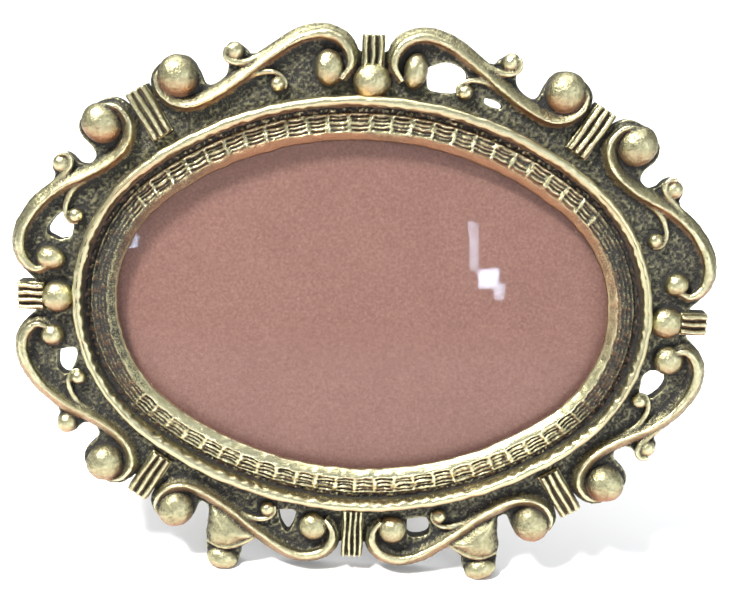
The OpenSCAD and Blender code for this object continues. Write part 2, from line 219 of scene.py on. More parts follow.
def sweep(name, path, widths, heights, section):
    """A section of (side, up) points swept along a path, pinched shut at both ends."""
    n, m = len(path), len(section)
    side = np.gradient(path[:, :2], axis=0)
    side = np.stack([-side[:, 1], side[:, 0], 0 * side[:, 0]], 1)
    side /= np.linalg.norm(side, axis=1)[:, None]
    row = np.concatenate([[0], np.arange(n), [n - 1]])
    open_ends = np.concatenate([[0], np.ones(n), [0]])
    section = np.asarray(section, float)

    def place(u, v):
        i = row[np.round(u * (n + 1)).astype(int)]
        wide = open_ends[np.round(u * (n + 1)).astype(int)]
        j = np.round(v * m).astype(int) % m
        return (path[i] + side[i] * (section[j, 0] * widths[i] * wide)[:, None]
                + np.array([0, 0, 1]) * (section[j, 1] * heights[i] * wide)[:, None])
    return wrapped_sheet(name, n + 1, m, place)


def ball(at, size, turn=0):
    bpy.ops.object.select_all(action="DESELECT")
    bpy.ops.mesh.primitive_uv_sphere_add(segments=40, ring_count=20, radius=1, location=at,
                                         scale=size, rotation=(0, 0, turn))
    obj = bpy.context.object
    bpy.ops.object.transform_apply(location=True, rotation=True, scale=True)
    return obj


def slab(outline, low, high):
    """A flat plate with the given outline, from one height to another."""
    bpy.ops.object.select_all(action="DESELECT")
    bpy.ops.mesh.primitive_circle_add(vertices=len(outline), radius=1, fill_type="NGON")
    obj = bpy.context.object
    set_points(obj, [(x, y, high) for x, y in outline])
    bpy.ops.object.mode_set(mode="EDIT")
    bpy.ops.mesh.select_all(action="SELECT")
    bpy.ops.mesh.extrude_region_move(TRANSFORM_OT_translate={"value": (0, 0, low - high)})
    bpy.ops.mesh.select_all(action="SELECT")
    bpy.ops.mesh.normals_make_consistent(inside=False)
    bpy.ops.object.mode_set(mode="OBJECT")
    return obj


def pillow(outline, low, side, rise):
    """A cushion over an outline: a flat bottom, short sides and a swelling top."""
    outline = np.asarray(outline)
    middle = outline.mean(0)
    n = len(outline)

    def place(u, v):
        rim = outline[np.round(u * n).astype(int) % n]
        reach = np.clip(np.where(v <= 0.6, v / 0.6, (1 - v) / 0.4), 0, 1)
        xy = middle + (rim - middle) * reach[:, None]
        z = np.where(v <= 0.601, side + rise * (1 - reach ** 2.4), low)
        return np.stack([xy[:, 0], xy[:, 1], z], 1)
    return wrapped_sheet("pillow", n, 20, place)


def join(name, parts):
    select_only(*parts)
    bpy.ops.object.join()
    obj = bpy.context.object
    obj.name = name
    return obj


def apply_modifier(obj, kind, **settings):
    select_only(obj)
    mod = obj.modifiers.new(kind.lower(), kind)
    for key, value in settings.items():
        setattr(mod, key, value)
    bpy.ops.object.modifier_apply(modifier=mod.name)


def fuse_and_soften(obj, grain, rounds):
    """Makes one skin of overlapping shapes and rounds the creases between them."""
    obj.data.remesh_voxel_size = grain
    select_only(obj)
    bpy.ops.object.voxel_remesh()
    apply_modifier(obj, "SMOOTH", factor=0.5, iterations=rounds)


round_section = [(math.cos(a), math.sin(a)) for a in np.arange(12) * math.pi / 6]
print("helpers ready")

# %% [markdown]
# Old brass is bright where hands and cloths reach and dark where they don't. To
# paint that, each point stores how far it stands out of its surroundings: its
# distance from a smoothed copy of the mesh, along its normal. A shift added to it
# also paints shade and light on some parts. The brass reads this as an attribute.

# %% Measure the wear of a surface, and add painted shade and light
def store_wear_and_painted_light(obj, rounds=14, scale=0.35, shift=0, added_warm_reflection=0, even=0, even_wear=0.40):
    """Stores wear with painted shade and light, height, and a painted warm reflection. Where even
    is 1 the wear is the same all over.
    """
    mesh = obj.data
    co = points_of(obj)
    edges = np.empty(len(mesh.edges) * 2, int)
    mesh.edges.foreach_get("vertices", edges)
    a, b = edges.reshape(-1, 2).T
    count = np.bincount(a, minlength=len(co)) + np.bincount(b, minlength=len(co))
    soft = co.copy()
    for _ in range(rounds):
        total = np.stack([np.bincount(a, soft[b, k], len(co)) + np.bincount(b, soft[a, k], len(co))
                          for k in range(3)], 1)
        soft = total / np.maximum(count, 1)[:, None]
    normals = np.empty(len(co) * 3)
    mesh.vertex_normals.foreach_get("vector", normals)
    normals = normals.reshape(-1, 3)
    stands_out = ((co - soft) * normals).sum(1)
    # wear from how far a point stands out, plus shift, which paints shade and light on some parts
    wear_and_painted_light = 0.5 + stands_out / scale * 0.5 + shift
    wear_and_painted_light = np.clip(wear_and_painted_light * (1 - even) + even_wear * even, 0, 1)
    layer = mesh.attributes.new("wear_and_painted_light", "FLOAT", "POINT")
    layer.data.foreach_set("value", wear_and_painted_light.astype(np.float32))
    layer = mesh.attributes.new("height", "FLOAT", "POINT")
    layer.data.foreach_set("value", (co[:, 2] / 10).astype(np.float32))
    # painted warm reflection: a copper tint on faces that look down, plus any added warm
    # reflection
    painted_warm_reflection = np.clip(-normals[:, 1], 0, 1) * ramp(co[:, 2], 4.4, 5.4) + added_warm_reflection
    layer = mesh.attributes.new("painted_warm_reflection", "FLOAT", "POINT")
    layer.data.foreach_set("value", painted_warm_reflection.astype(np.float32))


def finish_piece(obj, material, slot, *nodes):
    """Stands a piece up, gives it its finish and hands it to the frame."""
    obj.data.transform(stand)
    obj.data.update()
    select_only(obj)
    bpy.ops.object.shade_smooth()
    obj.data.materials.clear()
    obj.data.materials.append(material)
    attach(obj, "root")
    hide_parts(*nodes)
    obj.data.calc_loop_triangles()
    print(obj.name, "has", len(obj.data.loop_triangles), "triangles")


print("wear and finishing ready")


# %% [markdown]
# ## Finishes
# The cast brass is one material for the whole casting. Its colour runs from near
# black in the hollows through olive to pale yellow where it is polished, driven by
# the stored wear, which also carries painted shade and light. A painted copper-red
# reflection is mixed in on undersides and on parts of the lip and knobs. The hollows are rough and
# grainy, the crests smooth.

# %% Cast brass
def new_material(name):
    material = bpy.data.materials.new(name)
    material.use_nodes = True
    return material, material.node_tree.nodes, material.node_tree.links


def add_ramp(nodes, stops):
    node = nodes.new("ShaderNodeValToRGB")
    elements = node.color_ramp.elements
    while len(elements) < len(stops):
        elements.new(0.5)
    for element, (at, colour) in zip(elements, stops):
        element.position = at
        element.color = (*colour, 1)
    return node


def add_noise(nodes, links, coords, scale, detail=2.0, rough=0.5):
    node = nodes.new("ShaderNodeTexNoise")
    node.inputs["Scale"].default_value = scale
    node.inputs["Detail"].default_value = detail
    node.inputs["Roughness"].default_value = rough
    links.new(coords, node.inputs["Vector"])
    return node.outputs["Fac"]


def maths(nodes, links, kind, a, b, clamp=False):
    node = nodes.new("ShaderNodeMath")
    node.operation = kind
    node.use_clamp = clamp
    for socket, value in zip(node.inputs, (a, b)):
        if isinstance(value, (int, float)):
            socket.default_value = value
        else:
            links.new(value, socket)
    return node.outputs[0]


def mixed(nodes, links, factor, a, b):
    node = nodes.new("ShaderNodeMix")
    node.data_type = "RGBA"
    links.new(factor, node.inputs["Factor"])
    for socket, value in ((node.inputs["A"], a), (node.inputs["B"], b)):
        if isinstance(value, tuple):
            socket.default_value = (*value, 1)
        else:
            links.new(value, socket)
    return node.outputs["Result"]


def attribute(nodes, name):
    node = nodes.new("ShaderNodeAttribute")
    node.attribute_name = name
    return node.outputs["Fac"]


def make_cast_brass(name, grain_depth, shine):
    material, nodes, links = new_material(name)
    shader = nodes["Principled BSDF"]
    coords = nodes.new("ShaderNodeTexCoord").outputs["Object"]
    wear_and_painted_light = attribute(nodes, "wear_and_painted_light")
    grain = add_noise(nodes, links, coords, 2600, 3)
    blotch = add_noise(nodes, links, coords, 300, 3)
    broad = add_noise(nodes, links, coords, 60, 2)
    grain_reach = add_ramp(nodes, [(0.40, (1.3,) * 3), (0.60, (0.10,) * 3)])
    links.new(wear_and_painted_light, grain_reach.inputs["Fac"])
    low_ground = add_ramp(nodes, [(0.43, (0.0,) * 3), (0.56, (1.0,) * 3)])
    links.new(attribute(nodes, "height"), low_ground.inputs["Fac"])
    shifted = maths(nodes, links, "ADD", wear_and_painted_light, maths(
        nodes, links, "MULTIPLY", maths(nodes, links, "SUBTRACT", grain, 0.5),
        grain_reach.outputs["Color"]))
    patches = maths(nodes, links, "MULTIPLY", maths(nodes, links, "SUBTRACT", blotch, 0.5), 0.35)
    shifted = maths(nodes, links, "ADD", shifted, maths(
        nodes, links, "MULTIPLY", patches, grain_reach.outputs["Color"]))
    darker_low = maths(nodes, links, "MULTIPLY", low_ground.outputs["Color"], 0.24)
    shifted = maths(nodes, links, "ADD", shifted, maths(
        nodes, links, "SUBTRACT", darker_low, 0.24), clamp=True)
    colour = add_ramp(nodes, [
        (0.14, (0.032, 0.031, 0.029)), (0.34, (0.105, 0.099, 0.070)),
        (0.52, (0.235, 0.222, 0.132)), (0.68, (0.44, 0.415, 0.250)), (0.92, (0.78, 0.75, 0.50))])
    links.new(shifted, colour.inputs["Fac"])
    # painted warm reflection, mixed into the colour as copper red
    painted_warm_reflection = maths(nodes, links, "MULTIPLY", attribute(nodes, "painted_warm_reflection"), broad)
    tinted = mixed(nodes, links, maths(nodes, links, "MULTIPLY", painted_warm_reflection, 2.1, clamp=True),
                   colour.outputs["Color"], (0.33, 0.165, 0.092))
    links.new(tinted, shader.inputs["Base Color"])
    rough = add_ramp(nodes, [(0.2, (0.75,) * 3), (0.5, (0.46,) * 3), (0.85, (shine,) * 3)])
    links.new(shifted, rough.inputs["Fac"])
    links.new(rough.outputs["Color"], shader.inputs["Roughness"])
    metal = add_ramp(nodes, [(0.15, (0.55,) * 3), (0.45, (1.0,) * 3)])
    links.new(shifted, metal.inputs["Fac"])
    links.new(metal.outputs["Color"], shader.inputs["Metallic"])
    bump = nodes.new("ShaderNodeBump")
    bump.inputs["Distance"].default_value = 0.0004
    depth = add_ramp(nodes, [(0.3, (grain_depth,) * 3), (0.8, (grain_depth * 0.25,) * 3)])
    links.new(wear_and_painted_light, depth.inputs["Fac"])
    links.new(depth.outputs["Color"], bump.inputs["Strength"])
    links.new(grain, bump.inputs["Height"])
    links.new(bump.outputs["Normal"], shader.inputs["Normal"])
    return material


cast_brass = make_cast_brass("cast_brass", 0.8, 0.27)
print("cast brass made")

# %% [markdown]
# ## The moulding
# The moulding carries the glass. From the glass outwards it has a bevelled lip, a
# band cast to look woven, a stippled groove and a polished bead. A strip is bent
# round the oval, and its points are pushed in or out to make the pattern.

# %% Section of the moulding
def section_run(points):
    """Evenly cuts each stretch of a section: (off, height, cuts to the next point)."""
    out = []
    for (x0, z0, cuts), (x1, z1, _) in zip(points, points[1:] + points[:1]):
        for t in np.arange(cuts) / cuts:
            out.append((x0 + (x1 - x0) * t, z0 + (z1 - z0) * t))
    return np.array(out)


bead_off, bead_z, bead_r = 9.15, 7.75, 1.25
bead_arc = [(bead_off + bead_r * math.cos(a), bead_z + bead_r * math.sin(a), 1)
            for a in np.radians(np.arange(175, -1, -14))]
weave_cells, cord_places, scallop_pitch = 72, (0.13, 0.37, 0.61, 0.85), 3.1
moulding_section = section_run(
    [(0.1, 4.7, 2), (0, 5.3, 2), (0.25, 5.8, 3), (1.0, 6.4, 3), (1.7, 6.8, 2), (2.1, 6.85, 22),
     (6.1, 5.9, 2), (6.4, 5.3, 7), (7.7, 5.1, 5)]
    + bead_arc + [(10.4, 6.6, 3), (10.4, 0.3, 1), (10.2, 0.05, 3), (4.7, 0.05, 1),
                  (4.5, 0.2, 3), (4.5, 4.55, 3)])
print(len(moulding_section), "points in the section")


# %% Bend the strip and raise the pattern
def moulding_place(u, v):
    m = len(moulding_section)
    j = np.round(v * m).astype(int) % m
    off, z = moulding_section[j].T
    front = (z > 4.9) | (off > 8)
    turn = (u * 4) % 4
    x, y = oval_at(turn, off)
    along = turn * quarter
    flat = np.stack([x, y, 0 * x], 1)
    # the woven band: posts across it, and slots between its cords
    place_in = (u * weave_cells + 0.06 * noise(flat, 9, 3)) % weave_cells
    cell = np.floor(place_in).astype(int)
    phase = place_in - cell
    edge = np.minimum(phase, 1 - phase)
    ends = ramp(np.abs(x) / 59, 0.88, 1.0)
    post = np.exp(-(edge / 0.075) ** 2) * (0.8 + 0.4 * lattice[cell % 32, cell // 32, 20])
    band = (off > 2.05) & (off < 6.15) & (z > 5)
    across = (off - 2.1) / 4.0
    weave = 0.20 * post * (1 - ends)
    for i, at in enumerate(cord_places):
        bend = 0.05 * lattice[cell % 32, cell // 32, i] + 0.03 * np.cos(2 * math.pi * phase)
        bend = bend * (1 - ends) + 0.05 * noise(flat, 3, 30 + i)
        cord = np.exp(-((across - at - bend) / 0.062) ** 2)
        reach = 0.07 + 0.07 * lattice[cell % 32, cell // 32, 4 + i]
        slot = ramp(edge, reach, reach + 0.09) * (1 - ends)
        slot += ends * (0.5 + 0.5 * noise(flat, 1.5, 6))
        deep = 0.52 + 0.25 * lattice[cell % 32, cell // 32, 8 + i]
        weave -= deep * (1 - 0.4 * ends) * cord * slot
    weave += 0.15 * noise(flat, 0.5, 8) + 0.18 * noise(flat, 1.3, 19)
    z = z + np.where(band, weave, 0)
    # the groove is punched with small dots
    groove = (off > 6.2) & (off < 7.95) & (z > 4.8)
    z = z + np.where(groove, 0.30 * noise(flat, 0.55, 9) + 0.2 * noise(flat, 1.1, 10), 0)
    # the bead is scalloped along its inner side and narrower at the ends of the oval
    notch = 0.5 + 0.5 * np.cos(2 * math.pi * (along + 1.2 * noise(flat, 7, 12)) / scallop_pitch)
    inner = ramp(8.9 - off, 0, 0.9) * ((off > 7.85) & (z > 5.6))
    low_side = 0.35 + 0.65 * ramp(-y, -10, 20)
    off2 = off + inner * (0.26 * low_side * notch + 0.22 * noise(flat, 1.4, 13))
    bead = (off > 8.3) & (z > 6)
    narrow = 0.28 * ramp(np.abs(x), 48, 62)
    off2 = off2 + np.where(bead & (off > 9), 0.20 * noise(flat, 2.5, 14) - narrow * (z > 6.7), 0)
    off2 = off2 + np.where(bead & (off <= 9), narrow, 0)
    z = z + np.where(bead, 0.12 * noise(flat, 5, 15) + 0.05 * noise(flat, 1.2, 16), 0)
    # the lip is worn and uneven
    lip = front & (off < 2.05)
    off2 = off2 + np.where(lip, 0.22 * noise(flat, 2.2, 17), 0)
    z = z + np.where(lip, 0.16 * noise(flat, 1.4, 18), 0)
    x, y = oval_at(turn, off2)
    return np.stack([x, y, z], 1)


moulding = wrapped_sheet("moulding", 1320, len(moulding_section), moulding_place)
at = points_of(moulding)
ends_dark = -0.26 * ramp(np.abs(at[:, 0]), 46, 62) * (at[:, 2] < 7.2)
# painted light: the front of the moulding is made brighter along the bottom of the oval
lower_lip_painted_light = 0.16 * ramp(-at[:, 1], 22, 34) * (at[:, 2] > 6.2)
reach = np.hypot(at[:, 0] / half_w, at[:, 1] / half_h)
# painted shade: the lip along the top of the oval, which faces down, is darkened
upper_lip_painted_shade = -0.30 * ramp(at[:, 1], 4, 22) * (reach < 1.045) * (at[:, 2] > 4.8)
band_dark = -0.10 * (reach > 1.045) * (at[:, 2] < 7.2)
on_bead = ramp(at[:, 2], 7.4, 8.4)
even = np.maximum(0.75 * on_bead, at[:, 2] < 4.5)
lip = (reach < 1.05) & (at[:, 2] > 4.8)
# painted warm reflection: a copper tint on the upper part of the lip, fading out towards the left
# end
lip_painted_reflection = 0.45 * lip * np.maximum(ramp(at[:, 1], -14, 10), 0) * ramp(at[:, 0], -60, -20)
right_lip = 0.14 * lip * ramp(at[:, 0], 40, 56)
store_wear_and_painted_light(moulding, 10, 0.24, ends_dark + lower_lip_painted_light + upper_lip_painted_shade + band_dark + right_lip,
           lip_painted_reflection, even, 0.40 + 0.30 * on_bead)
finish_piece(moulding, cast_brass, "frame_brass", "cast_frame")

# %% [markdown]
# ## The scroll border
# The border is eight panels, four on the long sides and four at the ends, parted by
# ribbed tabs. Each panel is a C-scroll that starts in a lobe round a boss, runs out
# as a thin ridge and curls round a big knob. It is built up as a modeller builds in
# clay: a pierced ground, ridges and balls laid on it, then one skin over all.

# %% Lines of the panels, as run and rise
side = {
    "length": side_length,
    "scroll": [(6.8, 3.6), (4.9, 6.2), (4.7, 9.2), (6.4, 12.2), (9.5, 13.9), (12.8, 13.9),
               (16.2, 12.8), (20, 11), (24, 9.2), (28.5, 7.2), (33, 5.9), (37.5, 5.3),
               (41, 5.8), (43.5, 7.6), (44.7, 10), (44.9, 12.6), (44, 15), (41.8, 16.4)],
    "edge": [(0, 9.5), (2.9, 10), (4, 12), (6, 14.4), (9, 15.7), (12.8, 15.7), (16.6, 14.6),
             (20.2, 12.9), (22.6, 12.0), (25, 12.2), (25.9, 13.8), (27.4, 15.4), (29, 15.1),
             (29.9, 13.4), (30, 11.2), (31.2, 9.2), (34, 8.1), (36, 8.8), (36.2, 12),
             (36.8, 15.4), (38.6, 17.2), (41.4, 17.4), (44.2, 16.6), (46, 14.6), (46.6, 11.5)],
    "knob": (40.4, 13.0), "ball": (20.8, 4.1), "nub": (27.9, 13.7),
    "curl": [(28.2, 7.0), (25.4, 7.6), (22.4, 7.4), (20.2, 6.4), (19.0, 4.6), (19.4, 2.8)],
    "stem": [(19.5, 11.6), (23, 10.9), (26.4, 10.6), (29, 11.6), (29.9, 13.5), (29, 15.2)],
}
end = {
    "length": end_length,
    "scroll": [(6.8, 6.4), (5.6, 9.2), (6.8, 12), (9.3, 13.8), (12.5, 14.1), (16.5, 13),
               (20, 11.3), (23.5, 9.3), (27, 6.9), (31, 5.1), (35.5, 4.6), (39.2, 5.9),
               (41.3, 8.3), (41.7, 11), (41, 13.8), (38.8, 16)],
    "edge": [(0, 9), (2.9, 9.6), (4.2, 11.6), (5.8, 13.8), (8.8, 15.6), (12.5, 15.9), (16.8, 14.8),
             (20, 13.3), (22, 12.6), (23.8, 12.9), (24.6, 14.4), (26.2, 15), (27.8, 14.4),
             (28.3, 12.6), (28.2, 10), (29.4, 8.1), (31.4, 8.1), (32.3, 10), (32.3, 13.6),
             (33.4, 16), (36, 17.2), (39.4, 16.9), (41.8, 15.4), (43, 12.6), (43.4, 11)],
    "knob": (36.6, 12.8), "ball": (18.9, 3.9), "nub": (26.2, 12.9),
    "curl": [(26.4, 6.6), (23.6, 7.4), (20.5, 7.2), (18.3, 6.2), (17.1, 4.4), (17.6, 2.6)],
    "stem": [(17.5, 12.6), (21.4, 11.8), (24.8, 11.0), (27.4, 11.2), (28.3, 13), (27.5, 14.6)],
}


def panel_point(kind, flip, p, z=0.0):
    """A place on one panel. flip holds -1 or 1 for left and right and for down and up."""
    p = np.atleast_2d(np.asarray(p, float))
    if kind is side:
        x, y = rim_at(p[:, 0] * tab_run / side_length, p[:, 1])
    else:
        x, y = rim_at(quarter - p[:, 0] * (quarter - tab_run) / end_length, p[:, 1])
    height = p[:, 2] if p.shape[1] > 2 else np.full(len(p), z)
    return np.stack([x * flip[0], y * flip[1], height], 1)


def panel_angle(kind, flip, p):
    """Which way outwards is, at a place on a panel."""
    a, b = panel_point(kind, flip, [p, (p[0], p[1] + 1)])[:, :2]
    return math.atan2(b[1] - a[1], b[0] - a[0])


print("panel lines drawn")


# %% Build one panel
ground_low, ground_top, panel_grain = 0.8, 4.2, 0.25
gable = [(-1, 0), (-0.62, 0.32), (-0.34, 0.68), (-0.16, 0.93), (0, 1.0), (0.18, 0.93),
         (0.42, 0.80), (0.75, 0.58), (1.1, 0.22), (0.5, -0.25), (-0.5, -0.25)]


def keyed(n, keys):
    at = np.linspace(0, 1, n)
    return np.interp(at, [k[0] for k in keys], [k[1] for k in keys])


foot_edge = [(20.2, 12.9), (22.4, 13.4), (23.9, 15.8), (23.6, 19.6), (24.4, 22), (26.4, 23.4),
             (28.8, 22.8), (30.6, 20), (32, 15.8), (32.7, 11.8), (33.9, 9)]


def build_panel(name, kind, flip, eggs, gaps=(), boss=None, foot=False, blob=False):
    length = kind["length"]
    edge = list(kind["edge"])
    if foot:
        edge = [p for p in edge if p[0] < 20] + foot_edge + [p for p in edge if p[0] > 35]
    edge = smooth_path(edge, 4)
    outline = [(-0.4, -1.2), *edge, (length + 0.4, 9)]
    outline += [(x, -1.2) for x in np.linspace(length + 0.4, -0.4, 30)]
    outline = panel_point(kind, flip, outline)[:, :2]
    ground = slab(outline, ground_low, ground_top)
    for gap in gaps:
        hole = smooth_path(gap + gap[:1], 4)[:-1]
        cutter = slab(panel_point(kind, flip, hole)[:, :2], -2, 12)
        apply_modifier(ground, "BOOLEAN", operation="DIFFERENCE", object=cutter, solver="EXACT")
        bpy.data.objects.remove(cutter)
    parts = [ground]
    scroll = smooth_path(kind["scroll"], 5)
    path = panel_point(kind, flip, scroll, ground_top - 0.4)
    n = len(path)
    wide = keyed(n, [(0, 1.3), (0.15, 2.1), (0.35, 2.3), (0.6, 2.2), (0.8, 2.1), (1, 1.1)])
    tall = keyed(n, [(0, 1.6), (0.15, 3.2), (0.35, 3.0), (0.6, 2.9), (0.8, 3.3), (1, 2.2)])
    outer = flip[0] * flip[1] * (1 if kind is side else -1)
    flank = [(x * outer, z) for x, z in gable]
    parts.append(sweep("ridge", path, wide, tall, flank))
    lobe = panel_point(kind, flip, scroll, 5.9)
    thick = keyed(n, [(0, 0.5), (0.1, 0.95), (0.24, 1.15), (0.36, 0.7), (0.5, 0.30), (0.7, 0.34),
                      (0.86, 0.65), (0.95, 0.6), (1, 0.35)])
    lobe[:, 2] += keyed(n, [(0, 0.2), (0.25, 0.1), (0.5, 0.2), (0.8, 0.5), (1, -0.2)])
    parts.append(sweep("crest", lobe, thick, thick, round_section))
    for key, reach in [("curl", 0.62)] + ([] if foot or blob else [("stem", 0.82)]):
        line = smooth_path(kind[key], 5)
        lane = panel_point(kind, flip, line, 5.0)
        lane[:, 2] += keyed(len(lane), [(0, -0.6), (0.5, 0.3), (1, 0.8 if key == "stem" else 0.2)])
        grow = keyed(len(lane), [(0, reach * 1.6), (0.5, reach), (1, reach * 0.6)])
        parts.append(sweep(key, lane, grow, grow, round_section))
    knob_at = panel_point(kind, flip, kind["knob"], 5.0)[0]
    knob_at[2] = 4.5
    parts.append(ball(knob_at, (4.85, 4.55, 4.2), panel_angle(kind, flip, kind["knob"])))
    egg_at = panel_point(kind, flip, eggs[0], 4.6)[0]
    parts.append(ball(egg_at, (eggs[2], eggs[1], 3.0), panel_angle(kind, flip, eggs[0])))
    parts.append(ball(panel_point(kind, flip, kind["ball"], 4.9)[0], (1.85, 1.85, 1.8)))
    if not foot:
        nub_r = 2.5 if blob else 2.15
        parts.append(ball(panel_point(kind, flip, kind["nub"], 4.5)[0], (nub_r, nub_r, 2.1)))
    if boss:
        boss_rise, boss_r = boss
        boss_at = panel_point(kind, flip, (0, boss_rise), 4.6)[0]
        parts.append(ball(boss_at, (boss_r, boss_r, boss_r * 0.9)))
    if foot:
        instep = smooth_path(
            [(34.6, 7.4), (33, 12), (32.2, 16), (30.6, 18.6), (27.4, 18.9), (24.6, 17.6),
             (22.2, 14), (20, 11.6), (25, 9.4), (30, 7.2), (34.6, 7.4)], 5)[:-1]
        parts.append(pillow(panel_point(kind, flip, instep)[:, :2], ground_low, 3.8, 3.4))
        lobe = panel_point(kind, flip, (27, 20.7), 4.0)[0]
        parts.append(ball(lobe, (3.0, 4.1, 3.0), panel_angle(kind, flip, (27, 20.7))))
        line = smooth_path([(21.4, 11.6, 5.2), (24.2, 14.6, 5.4), (27.6, 17.1, 5.5),
                            (31.4, 17.4, 4.6)], 6)
        lane = panel_point(kind, flip, line)
        grow = keyed(len(lane), [(0, 0.5), (0.5, 0.95), (1, 0.6)])
        parts.append(sweep("foot_edge", lane, grow, grow, round_section))
    obj = join(name, parts)
    fuse_and_soften(obj, panel_grain, 5)
    return obj


print("the ground of a panel lies from", ground_low, "to", ground_top, "mm")

# %% [markdown]
# The skin is then worked over like a real casting. The ground between the scrolls
# was stippled with a punch, so it gets small dents. The knobs and lobes were
# polished, so they keep only a few shallow waves.

# %% Stipple and finish a panel
def work_over(obj):
    co = points_of(obj)
    normals = np.empty(len(co) * 3)
    obj.data.vertex_normals.foreach_get("vector", normals)
    normals = normals.reshape(-1, 3)
    low = 1 - ramp(co[:, 2], 4.6, 5.4)
    up = ramp(normals[:, 2], 0.2, 0.7)
    dents = noise(co, 0.55, 21) * 0.20 + noise(co, 1.1, 22) * 0.12
    waves = noise(co, 2.6, 23) * 0.10 + noise(co, 0.9, 24) * 0.035
    co = co + normals * (dents * (0.25 + 0.75 * low * up) + waves)[:, None]
    set_points(obj, co)


panels = {}
for name, kind, flip, eggs, extra in [
        ("border_top_left", side, (-1, 1), ((9.3, 6.3), 3.4, 4.2), {"boss": (3.1, 4.4)}),
        ("border_top_right", side, (1, 1), ((9.3, 6.3), 2.8, 4.2), {"gaps": [
            [(11.9, 7.7), (12, 4.4), (13.6, 2.5), (19.4, 3.5), (20.1, 8), (16, 9.6)],
            [(25.2, 4.2), (26, 2.9), (29.4, 3), (29.5, 4), (27.5, 4.5)]]}),
        ("border_bottom_left", side, (-1, -1), ((9.3, 6.3), 3.7, 3.7), {"foot": True, "gaps": [
            [(18.4, 4), (14.3, 3.3), (13.9, 6.3), (14.9, 9.5), (16.9, 7.4)]]}),
        ("border_bottom_right", side, (1, -1), ((9.3, 6.3), 3.7, 3.7), {"foot": True, "gaps": [
            [(13, 4.1), (17.6, 4.4), (17.8, 8.4), (15.2, 9.4), (12.8, 8.3)]]}),
        ("border_left_top", end, (-1, 1), ((8.3, 6.4), 2.9, 3.6), {"boss": (3.9, 3.9), "gaps": [
            [(12.2, 5.8), (13.2, 9.2), (17.4, 7.9), (19, 5.2), (14.2, 3.1)]]}),
        ("border_right_top", end, (1, 1), ((8.3, 6.4), 2.8, 2.9), {"boss": (3.9, 3.9)}),
        ("border_left_bottom", end, (-1, -1), ((8.3, 6.4), 2.8, 2.9), {"blob": True, "gaps": [
            [(11.9, 6.5), (12.5, 2.1), (15.4, 3.2), (17.5, 6.4), (15.5, 8)]]}),
        ("border_right_bottom", end, (1, -1), ((8.3, 6.4), 3.6, 3.6), {"gaps": [
            [(10.9, 7.1), (11.7, 3.3), (14.5, 2.3), (18.6, 4.3), (17, 6.9), (13.5, 8.4)]]})]:
    panel = build_panel(name, kind, flip, eggs, **extra)
    work_over(panel)
    at = points_of(panel)
    polish_and_knob_shade = 0.05 * ramp(at[:, 2], 5.4, 6.6)
    from_knob = at - panel_point(kind, flip, kind["knob"], 5.0)[0]
    around = np.arctan2(from_knob[:, 1], from_knob[:, 0])
    away = np.hypot(from_knob[:, 0], from_knob[:, 1])
    strokes = noise(np.stack([around * 5, away * 0.3, 0 * away], 1), 1, 31)
    near = (away < 4.9) & (at[:, 2] > 4.9)
    # striations darken the knob in streaks, and its edge is darkened as painted shade
    polish_and_knob_shade -= near * (0.16 * np.clip(strokes, 0, 1) + 0.10 * ramp(away, 2.4, 4.6))
    # painted warm reflection: a copper tint on the lower side of each knob
    knob_painted_reflection = near * 0.35 * ramp(away, 2.2, 4.6) * ramp(-from_knob[:, 1], -1, 3)
    store_wear_and_painted_light(panel, 16, 0.37, polish_and_knob_shade, knob_painted_reflection, (at[:, 2] < 1.4).astype(float))
    panels[name] = panel
print(len(panels), "panels built and stippled")

# %% [markdown]
# The two feet are flat where they meet the table, so whatever would hang below the
# table's level is pressed up to it.

# %% Flatten the soles and hand over the panels
table_normal = Vector((0, math.cos(lean), math.sin(lean)))
table_point = stand.inverted() @ Vector((0, face_origin.y, 0))
for name in ("border_bottom_left", "border_bottom_right"):
    co = points_of(panels[name])
    depth = (co - np.array(table_point)) @ np.array(table_normal)
    co -= np.minimum(depth, 0)[:, None] * np.array(table_normal)
    set_points(panels[name], co)
for panel in panels.values():
    finish_piece(panel, cast_brass, "frame_brass", "cast_frame")


# %% [markdown]
# ## The ribbed tabs
# Between the panels are eight short tabs with three or four round ribs that run
# outwards. Each rib is a slim rounded bar, and they lie side by side on a small plate.

# %% Make the tabs
def make_tab(name, kind, flip, run, rises, width, ribs):
    middle = panel_point(kind, flip, (run, rises[0]))[0]
    turn = panel_angle(kind, flip, (run, 5)) - math.pi / 2
    length = rises[1] - rises[0]
    pitch = width / ribs
    parts = [slab([(-width / 2, 0), (width / 2, 0), (width / 2, length), (-width / 2, length)],
                  0.9, ground_top + 1.2)]
    for i in range(ribs):
        x = (i + 0.5) * pitch - width / 2
        path = np.array([(x + 0.10 * math.sin(i * 5 + t * 7), t * length,
                          5.35 + 0.3 * math.sin(math.pi * t)) for t in np.linspace(0.02, 0.99, 9)])
        thick = np.full(9, pitch * 0.36)
        parts.append(sweep("rib", path, thick, np.full(9, 1.0), round_section))
    obj = join(name, parts)
    co = points_of(obj)
    c, s = math.cos(turn), math.sin(turn)
    set_points(obj, np.stack([middle[0] + co[:, 0] * c - co[:, 1] * s,
                              middle[1] + co[:, 0] * s + co[:, 1] * c, co[:, 2]], 1))
    fuse_and_soften(obj, 0.22, 2)
    work_over(obj)
    store_wear_and_painted_light(obj, 12, 0.34, 0.06, 0, 1.0 - ramp(points_of(obj)[:, 2], 1.4, 3.4))
    finish_piece(obj, cast_brass, "frame_brass", "cast_frame")


